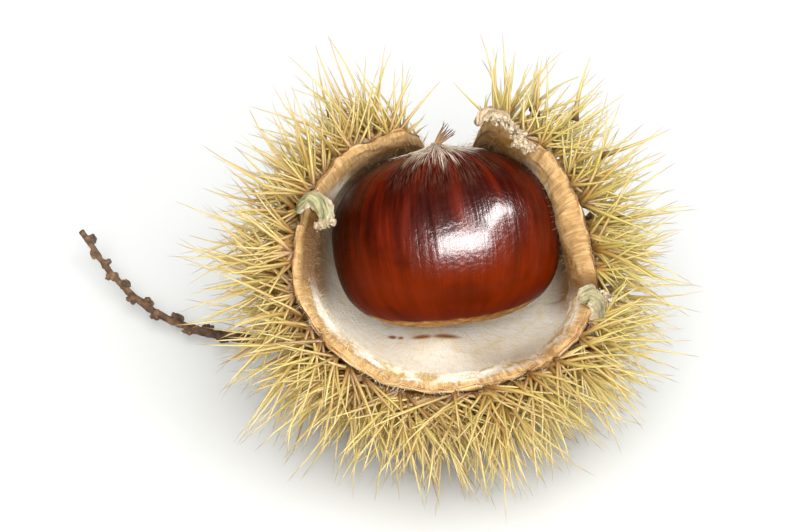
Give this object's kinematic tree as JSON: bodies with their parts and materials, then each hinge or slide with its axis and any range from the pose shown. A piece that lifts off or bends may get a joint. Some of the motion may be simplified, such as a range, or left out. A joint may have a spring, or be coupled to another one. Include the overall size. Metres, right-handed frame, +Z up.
{
  "type": "chestnut in its husk",
  "caption": "Ripe sweet chestnut lying in its split, spiny husk, with the dry catkin that the husk grew on.",
  "frame": {"origin": "middle of the whole object's footprint, on the surface that its spines stand on", "axes": "+Z up; the husk's mouth and the nut's shining face look towards -Y and up; the catkin runs out towards -X and back"},
  "size_m": [0.0944, 0.0681, 0.0504],
  "materials": {
    "husk": "dry straw-yellow spines on a brown felted wall, with a matt cream velvet lining",
    "nut": "glossy red-brown shell with darker lengthwise stripes, downy at the tip and pale and rough at the foot",
    "catkin": "dry, dark brown and dull"
  },
  "bodies": {
    "root": {"husk": "husk", "nut": "nut", "catkin": "catkin"}
  },
  "joints": []
}
